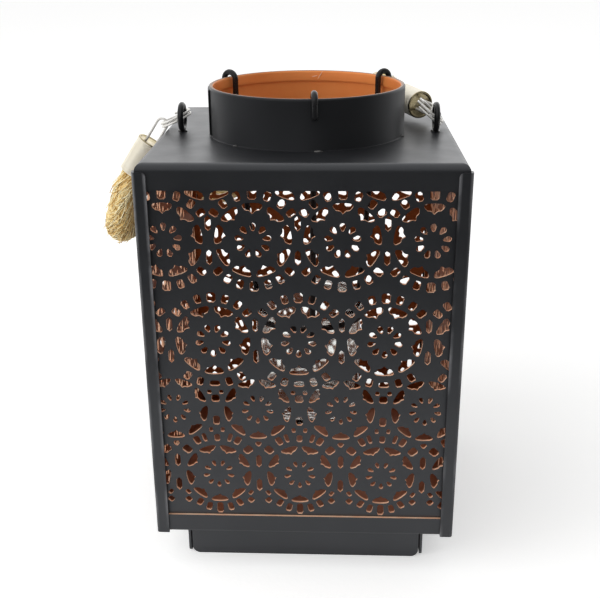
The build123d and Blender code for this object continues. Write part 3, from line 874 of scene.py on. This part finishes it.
# Lace walls: one flat outline per wall, with every cut as a closed spline
lace = {
    "outer": 72.6, "thickness": 1.2, "low": 23.6, "high": 209.5, "halfWidths": {"broad": 72.5, "narrow": 70.55},
    "windowHalf": 69.6, "windowLow": 24.8, "windowHigh": 208.4, "leastCut": 0.6, "cutResolution": 2,
    "pitch": 40.4, "shift": -1.9, "columns": 3, "lobes": 9,
    "lobeShapes": {
        "broad": [
            (0, 17.6), (6.6, 17.6), (13.2, 17.55), (15.6, 17.0), (15.8, 16.3), (13.6, 14.9), (12.0, 14.35),
            (6.2, 13.95), (2.0, 12.9), (0, 12.5)],
        "small": [
            (0, 16.25), (6.7, 16.25), (13.4, 16.15), (15.6, 15.7), (15.6, 15.1), (12.2, 13.9), (10.4, 13.35),
            (5.4, 13.0), (1.8, 12.3), (0, 12.0)],
    },
    "petals": {"broad": (6.4, 2.9, 4.0), "small": (6.1, 2.1, 3.3)},
    "rows": [
        {"height": 213.9, "half": False, "lobe": "broad", "facing": 90, "squares": [], "between": []},
        {"height": 177.7, "half": True, "lobe": "broad", "facing": 90, "between": [8.1, -8.1], "squares": [
            (0, 21.6, 4.2, 5.0), (18.5, 21.6, 3.3, 4.4), (37.5, 21.4, 3.3, 4.2), (53, 21.6, 3.3, 4.2),
            (180, 22.0, 4.2, 5.0), (163, 22.0, 3.3, 4.4), (147, 22.0, 3.3, 4.4), (132, 22.0, 3.3, 4.4)]},
        {"height": 128.3, "half": False, "lobe": "broad", "facing": 270, "between": [8.1, -8.1], "squares": [
            (0, 21.8, 4.2, 5.0), (17, 21.8, 3.3, 4.4), (34, 21.8, 3.3, 4.4), (49, 21.8, 3.3, 4.4),
            (180, 22.4, 5.0, 2.9), (162, 22.4, 3.3, 4.4), (145, 22.4, 3.3, 4.4),
            (173.9, 27.15, 2.1, 2.1), (180, 30.4, 4.0, 3.9)]},
        {"height": 92.1, "half": True, "lobe": "small", "facing": 270, "between": [], "squares": []},
        {"height": 55.9, "half": False, "lobe": "small", "facing": 270, "between": [7.4, -6.3], "squares": [
            (0, 20.3, 2.9, 3.8), (17, 21.3, 2.1, 4.6), (28, 21.2, 3.2, 4.6), (6.5, 25.0, 1.9, 2.5),
            (0, 30.0, 3.4, 4.8), (47.7, 20.3, 4.0, 4.6),
            (180, 20.0, 3.3, 6.0), (164.3, 20.0, 2.9, 4.6), (149, 19.5, 3.0, 4.2), (134, 21.9, 3.0, 3.0),
            (124.6, 19.2, 3.0, 2.0)]},
    ],
    "betweenSize": (2.8, 7.2),
    "triangle": {"height": 17.0, "width": 3.4, "depth": 2.8, "rowsBelow": 60},
}


def clamp(value, low, high):
    return min(max(value, low), high)


# A cut that runs under a strip or the header is closed by one straight edge there
def addCut(curve, places, smooth=True):
    held = []
    for x, z in places:
        spot = (
            clamp(x, -lace["windowHalf"], lace["windowHalf"]), clamp(z, lace["windowLow"], lace["windowHigh"]))
        held.append((spot, spot != (x, z)))
    count = len(held)
    inside = [
        (spot, atEdge) for k, (spot, atEdge) in enumerate(held)
        if not (atEdge and held[k - 1][1] and held[(k + 1) % count][1])]
    if len(inside) < 3:
        return 0
    spans = [max(line) - min(line) for line in zip(*[spot for spot, _ in inside])]
    if min(spans) < lace["leastCut"]:
        return 0
    spline = curve.splines.new("BEZIER")
    spline.bezier_points.add(len(inside) - 1)
    spline.use_cyclic_u = True
    spline.resolution_u = lace["cutResolution"]
    for point, ((x, z), atEdge) in zip(spline.bezier_points, inside):
        point.co = (x * mm, z * mm, 0)
        point.handle_left_type = point.handle_right_type = "VECTOR" if atEdge or not smooth else "AUTO"
    return 1


# A shape of (aside, outward) points, set at an angle and a radius round a centre
def around(centre, angle, radius, shape):
    turned = math.radians(90 - angle)
    out = (math.cos(turned), math.sin(turned))
    return [
        (centre[0] + out[0] * (radius + v) - out[1] * u, centre[1] + out[1] * (radius + v) + out[0] * u)
        for u, v in shape]


def clippedSquare(width, height):
    corner = [
        (0.5, 0.3), (0.3, 0.5), (-0.3, 0.5), (-0.5, 0.3),
        (-0.47, -0.32), (-0.27, -0.5), (0.27, -0.5), (0.47, -0.32)]
    return [(u * width, v * height) for u, v in corner]


def dropShape(width, length):
    return [
        (0, -length / 2), (width * 0.36, -length * 0.12), (width * 0.46, length * 0.22), (0, length / 2),
        (-width * 0.46, length * 0.22), (-width * 0.36, -length * 0.12)]


def leafShape(width, length):
    return [(0, -length / 2), (width * 0.5, -length * 0.02), (0, length / 2), (-width * 0.5, -length * 0.02)]


def cutRosette(curve, row, centre):
    half = lace["lobeShapes"][row["lobe"]]
    outline = half + [(-turned, r) for turned, r in half[-2:0:-1]]
    petal = lace["petals"][row["lobe"]]
    cuts = 0
    for number in range(lace["lobes"]):
        angle = 90 - row["facing"] + number * 360 / lace["lobes"]
        cuts += addCut(curve, [around(centre, angle + turned, 0, [(0, r)])[0] for turned, r in outline])
        cuts += addCut(curve, around(centre, angle, petal[0], dropShape(*petal[1:])))
    for angle, radius, width, height in row["squares"]:
        for side in ((1, -1) if angle % 180 else (1,)):
            shape = around(centre, side * angle, radius, clippedSquare(width, height))
            cuts += addCut(curve, shape, smooth=False)
    middle = centre[0] + lace["pitch"] / 2
    for rise in row["between"]:
        flip = 0 if rise > 0 else 180
        cuts += addCut(curve, around((middle, centre[1] + rise), flip, 0, leafShape(*lace["betweenSize"])))
    top = lace["triangle"]
    if row["height"] < top["rowsBelow"]:
        shape = dropShape(top["width"], top["depth"])
        cuts += addCut(curve, around((middle, centre[1] + top["height"]), 0, 0, shape))
    return cuts


def laceMesh(name, halfWidth):
    curve = newCurve(name, "2D")
    curve.fill_mode = "BOTH"
    curve.extrude = lace["thickness"] / 2 * mm
    rectangle = [
        (x * mm, z * mm, 0) for x, z in (
            (-halfWidth, lace["low"]), (halfWidth, lace["low"]),
            (halfWidth, lace["high"]), (-halfWidth, lace["high"]))]
    addSpline(curve, "POLY", rectangle).use_cyclic_u = True
    cuts = 0
    for row in lace["rows"]:
        start = lace["shift"] + (lace["pitch"] / 2 if row["half"] else 0)
        for step in range(-lace["columns"], lace["columns"] + 1):
            cuts += cutRosette(curve, row, (start + step * lace["pitch"], row["height"]))
    mesh = meshOfCurve(curve)
    print(name, "cuts", cuts, "faces", len(mesh.polygons))
    return mesh


def laceSide(face):
    return 0 if face.normal.z > 0.5 else 1 if face.normal.z < -0.5 else 2


walls = {
    "front_panel": (0, "broad"), "right_panel": (90, "narrow"),
    "back_panel": (180, "broad"), "left_panel": (270, "narrow"),
}
sheets = {width: laceMesh(width + "Lace", half) for width, half in lace["halfWidths"].items()}
standUp = Matrix.Rotation(math.pi / 2, 4, "X")
reach = Matrix.Translation((0, -(lace["outer"] - lace["thickness"] / 2) * mm, 0))
for name, (turnAngle, width) in walls.items():
    bm = bmesh.new()
    bm.from_mesh(sheets[width])
    mesh = meshFrom(bm, name + "Lace", laceSide)
    mesh.transform(Matrix.Rotation(math.radians(turnAngle), 4, "Z") @ reach @ standUp)
    # the inside faces take the copper paint darkened as painted shade, and the cut edges the lightened copper
    # as painted highlight
    finishPiece(
        name + "_lace", mesh, [paints["blackTin"], paints["copperPaintInShade"], paints["litCutEdge"]], "lantern", [name],
        sharp=35)
print("lace walls made")

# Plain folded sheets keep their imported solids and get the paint
keptFinishes = {
    "top_cap": capFinish, "bottom_pan": panFinish, "plinth": paints["plinthLitTin"],
    "post_front_left": stripFinish, "post_front_right": stripFinish,
    "post_back_right": stripFinish, "post_back_left": stripFinish,
}
for name, finish in keptFinishes.items():
    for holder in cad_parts[name].material_slots:
        holder.material = finish
print("packed sheets painted:", len(keptFinishes))

# Floor, light and white surroundings
studio = {
    "floorSize": 5.0, "floorFront": -0.32, "floorColor": (0.9, 0.9, 0.895, 1), "floorRoughness": 0.9,
    "floorSpecular": 0.1, "weave": 260, "weaveBump": {"Strength": 0.15, "Distance": 0.0005},
    "shadeCentre": (0.07, 0.06, 0), "glossGlow": 0.06,
    "glow": {"From Min": 0.08, "From Max": 0.45, "To Min": 0.38, "To Max": 0.58},
    "keyPower": 17.0, "keySize": 3.0, "keyPlace": (-0.45, -0.62, 1.3), "keyAim": (0, 0, 0.1),
    "fillPower": 5.0, "fillSize": 0.7, "fillPlace": (-1.05, -0.45, 0.4), "fillAim": (0, 0, 0.12),
    "ambient": 0.42,
    "roomFront": {"From Min": -0.8, "From Max": 0.0, "To Min": 0.08, "To Max": 0.24},
    "roomBack": {"From Min": 0.0, "From Max": 0.85, "To Min": 0.0, "To Max": 1.31},
}
bm = bmesh.new()
bmesh.ops.create_grid(bm, x_segments=8, y_segments=8, size=studio["floorSize"] / 2)
bmesh.ops.translate(bm, vec=(0, studio["floorFront"] + studio["floorSize"] / 2, 0), verts=bm.verts)
floorMesh = bpy.data.meshes.new("floor")
bm.to_mesh(floorMesh)
bm.free()
floor = bpy.data.objects.new("floor", floorMesh)
bpy.context.scene.collection.objects.link(floor)

# the cloth glows a little where the camera sees it; the glow is weaker round shadeCentre, right of and behind
# the lantern, a painted shade that deepens its shadow there
floorFinish, tree, shader, vector = newMaterial("floorCloth")
weave = addNode(tree, "TexNoise", {"Vector": vector, "Scale": studio["weave"]})
floorBump = addNode(tree, "Bump", {"Height": weave.outputs["Fac"], **studio["weaveBump"]})
rays = addNode(tree, "LightPath").outputs
mirrored = mathNode(tree, "MULTIPLY", rays["Is Glossy Ray"], studio["glossGlow"])
seen = mathNode(tree, "MAXIMUM", rays["Is Camera Ray"], mirrored)
seen = mathNode(tree, "MAXIMUM", seen, rays["Is Transmission Ray"])
fromShade = addNode(tree, "VectorMath", {0: vector, 1: studio["shadeCentre"]}, operation="DISTANCE")
glow = mapNode(tree, fromShade.outputs["Value"], studio["glow"])
feed(tree, shader, {
    "Base Color": studio["floorColor"], "Roughness": studio["floorRoughness"],
    "Specular IOR Level": studio["floorSpecular"], "Normal": floorBump.outputs["Normal"],
    "Emission Color": (1, 1, 1, 1), "Emission Strength": mathNode(tree, "MULTIPLY", seen, glow)})
floorMesh.materials.append(floorFinish)
floor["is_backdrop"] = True


def softLight(name):
    lamp = bpy.data.lights.new(name + "Light", "AREA")
    lamp.energy = studio[name + "Power"]
    lamp.size = studio[name + "Size"]
    holder = bpy.data.objects.new(name + "Light", lamp)
    holder.location = studio[name + "Place"]
    towards = Vector(studio[name + "Aim"]) - Vector(studio[name + "Place"])
    holder.rotation_euler = towards.to_track_quat("-Z", "Y").to_euler()
    bpy.context.scene.collection.objects.link(holder)
    return holder


softLight("key")
softLight("fill").visible_glossy = False  # it is for the rope, and leaves no streak on the collar

# the room is white to the eye; its reflection is dim on the side of the camera and bright behind
world = bpy.data.worlds.new("studio")
bpy.context.scene.world = world
world.use_nodes = True
sky = world.node_tree
ambient = sky.nodes["Background"]
ambient.inputs["Color"].default_value = (studio["ambient"],) * 3 + (1,)
towardsBack = addNode(
    sky, "SeparateXYZ", {0: addNode(sky, "TexCoord").outputs["Generated"]}).outputs["Y"]
frontGlow = mapNode(sky, towardsBack, studio["roomFront"])
backGlow = mapNode(sky, towardsBack, studio["roomBack"])
rays = addNode(sky, "LightPath").outputs
plain = mathNode(sky, "MAXIMUM", rays["Is Camera Ray"], rays["Is Transmission Ray"])
mirrored = mathNode(
    sky, "MULTIPLY", mathNode(sky, "SUBTRACT", 1.0, plain), mathNode(sky, "ADD", frontGlow, backGlow))
seenSky = addNode(sky, "Background", {"Color": (1, 1, 1, 1), "Strength": mathNode(sky, "ADD", plain, mirrored)})
choose = addNode(sky, "MixShader", {
    0: mathNode(sky, "MAXIMUM", plain, rays["Is Glossy Ray"]),
    1: ambient.outputs["Background"], 2: seenSky.outputs["Background"]})
sky.links.new(choose.outputs["Shader"], sky.nodes["World Output"].inputs["Surface"])
print("studio set")

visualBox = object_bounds()
for label, box in (("cad", cadBox), ("visual", visualBox)):
    print(label, "box", [[round(x * 1000, 1) for x in v] for v in box])
